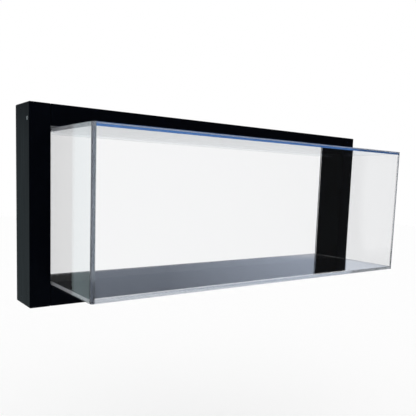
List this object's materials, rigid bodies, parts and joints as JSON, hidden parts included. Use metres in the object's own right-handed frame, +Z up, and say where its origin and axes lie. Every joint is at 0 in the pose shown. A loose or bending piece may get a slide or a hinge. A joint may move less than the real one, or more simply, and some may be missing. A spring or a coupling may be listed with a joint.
{
  "type": "mini helmet display case",
  "caption": "Wall display case: a black wooden frame round a clear acrylic box that slides out over the room for a row of mini helmets.",
  "frame": {"origin": "on the wall plane, midway between the two hanging points of the frame's keyholes", "axes": "+X to the viewer's right, -Y out from the wall, +Z up"},
  "size_m": [0.6096, 0.1725, 0.254],
  "materials": {
    "frame_wood": "satin",
    "clear_acrylic": "gloss",
    "felt": "matte",
    "screw_steel": "satin",
    "plate_steel": "satin"
  },
  "bodies": {
    "frame": {"stile_left": "frame_wood", "stile_right": "frame_wood", "rail_top": "frame_wood", "rail_bottom": "frame_wood", "grip_strip": "felt", "corner_screws_left": "screw_steel", "corner_screws_right": "screw_steel", "hanger_plate_left": "plate_steel", "hanger_plate_right": "plate_steel", "hanger_screws_left": "screw_steel", "hanger_screws_right": "screw_steel"},
    "acrylic_box": {"side_panel_left": "clear_acrylic", "side_panel_right": "clear_acrylic", "front_panel": "clear_acrylic", "top_panel": "clear_acrylic", "floor_panel": "clear_acrylic"}
  },
  "joints": [
    {"name": "box_pull", "type": "slide", "parent": "frame", "child": "acrylic_box", "axis": [0, -1, 0], "range_m": [0, 0.075]}
  ]
}
